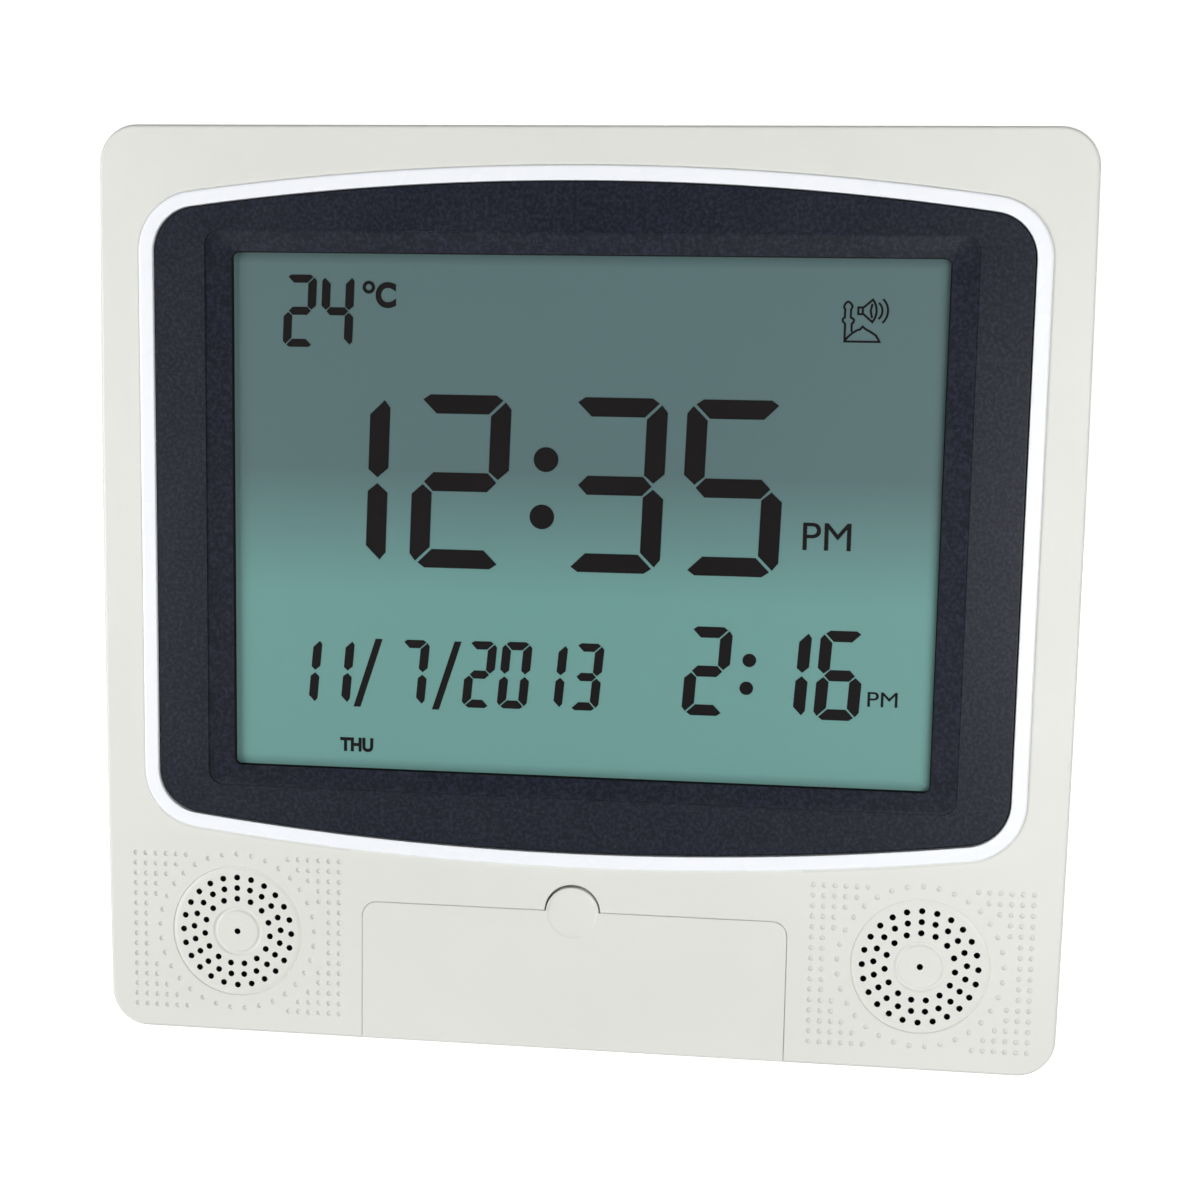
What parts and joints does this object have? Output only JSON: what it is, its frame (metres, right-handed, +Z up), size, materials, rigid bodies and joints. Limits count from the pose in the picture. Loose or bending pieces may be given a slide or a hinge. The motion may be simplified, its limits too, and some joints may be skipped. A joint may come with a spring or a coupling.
{
  "type": "azan clock",
  "caption": "Prayer-time clock in a flat cream casing: wide LCD in a bowed frame, round pierced speakers, keys behind a drop-down door, battery bay and fold-out leg behind",
  "frame": {"origin": "under the middle of the clock, on the surface that its four feet stand on", "axes": "+X to the viewer's right, +Y from the display side to the back, +Z up"},
  "size_m": [0.2604, 0.035, 0.2476],
  "materials": {
    "casing_cream": "fine satin mould finish, slightly warm white",
    "trim_white": "bright glossy white",
    "bezel_navy": "navy black with a fine grain",
    "lcd_glass": "grey-green LCD behind a matt polariser",
    "guide_clear": "clear moulded light guide with a frosted back",
    "holder_white": "plain white moulding",
    "board_green": "green solder mask on glass fibre board",
    "part_black": "black moulded electronic parts",
    "rubber_grey": "matt dark rubber",
    "key_grey": "matt mid-grey key rubber",
    "steel": "plated steel",
    "paper_black": "black pressed paper",
    "cell_green": "plain shrink sleeve, green, without print"
  },
  "bodies": {
    "casing": {"front_casing": "casing_cream", "rear_casing": "casing_cream", "trim_ring": "trim_white", "display_bezel": "bezel_navy", "lcd_panel": "lcd_glass", "light_guide": "guide_clear", "lcd_holder": "holder_white", "zebra_strip_top": "rubber_grey", "zebra_strip_bottom": "rubber_grey", "main_board": "board_green", "controller_chip": "part_black", "sound_chip": "part_black", "buffer_capacitor": "part_black", "temperature_sensor": "part_black", "board_screw_1": "steel", "board_screw_2": "steel", "board_screw_3": "steel", "board_screw_4": "steel", "key_board": "board_green", "key_ribbon": "holder_white", "power_socket": "part_black", "speaker_grille_left": "casing_cream", "speaker_grille_right": "casing_cream", "speaker_frame_left": "steel", "speaker_frame_right": "steel", "speaker_cone_left": "paper_black", "speaker_cone_right": "paper_black", "speaker_magnet_left": "part_black", "speaker_magnet_right": "part_black", "battery_1": "cell_green", "battery_2": "cell_green", "battery_3": "cell_green", "contact_minus": "steel", "contact_plus": "steel", "contact_link_1": "steel", "contact_link_2": "steel", "case_screw_1": "steel", "case_screw_2": "steel", "case_screw_3": "steel", "case_screw_4": "steel", "case_screw_5": "steel", "case_screw_6": "steel", "rubber_foot_1": "rubber_grey", "rubber_foot_2": "rubber_grey", "rubber_foot_3": "rubber_grey", "rubber_foot_4": "rubber_grey"},
    "door": {"control_door": "casing_cream"},
    "cover": {"battery_cover": "casing_cream"},
    "leg": {"stand_leg": "casing_cream"},
    "key_1": {"button_1": "key_grey"},
    "key_2": {"button_2": "key_grey"},
    "key_3": {"button_3": "key_grey"},
    "key_4": {"button_4": "key_grey"},
    "key_5": {"button_5": "key_grey"},
    "key_6": {"button_6": "key_grey"},
    "key_7": {"button_7": "key_grey"},
    "key_8": {"button_8": "key_grey"}
  },
  "joints": [
    {"name": "door_hinge", "type": "hinge", "parent": "casing", "child": "door", "pos_m": [0, -0.0134, 0.0045], "axis": [1, 0, 0], "range_deg": [0, 90]},
    {"name": "leg_hinge", "type": "hinge", "parent": "casing", "child": "leg", "pos_m": [0, 0.0154, 0.123], "axis": [1, 0, 0], "range_deg": [0, 25]},
    {"name": "cover_hinge", "type": "hinge", "parent": "casing", "child": "cover", "pos_m": [0, 0.0175, 0.1337], "axis": [-1, 0, 0], "range_deg": [0, 70]},
    {"name": "key_1_press", "type": "slide", "parent": "casing", "child": "key_1", "axis": [0, 1, 0], "range_m": [0, 0.0008], "stiffness_N_per_m": 2000},
    {"name": "key_2_press", "type": "slide", "parent": "casing", "child": "key_2", "axis": [0, 1, 0], "range_m": [0, 0.0008], "stiffness_N_per_m": 2000},
    {"name": "key_3_press", "type": "slide", "parent": "casing", "child": "key_3", "axis": [0, 1, 0], "range_m": [0, 0.0008], "stiffness_N_per_m": 2000},
    {"name": "key_4_press", "type": "slide", "parent": "casing", "child": "key_4", "axis": [0, 1, 0], "range_m": [0, 0.0008], "stiffness_N_per_m": 2000},
    {"name": "key_5_press", "type": "slide", "parent": "casing", "child": "key_5", "axis": [0, 1, 0], "range_m": [0, 0.0008], "stiffness_N_per_m": 2000},
    {"name": "key_6_press", "type": "slide", "parent": "casing", "child": "key_6", "axis": [0, 1, 0], "range_m": [0, 0.0008], "stiffness_N_per_m": 2000},
    {"name": "key_7_press", "type": "slide", "parent": "casing", "child": "key_7", "axis": [0, 1, 0], "range_m": [0, 0.0008], "stiffness_N_per_m": 2000},
    {"name": "key_8_press", "type": "slide", "parent": "casing", "child": "key_8", "axis": [0, 1, 0], "range_m": [0, 0.0008], "stiffness_N_per_m": 2000}
  ]
}
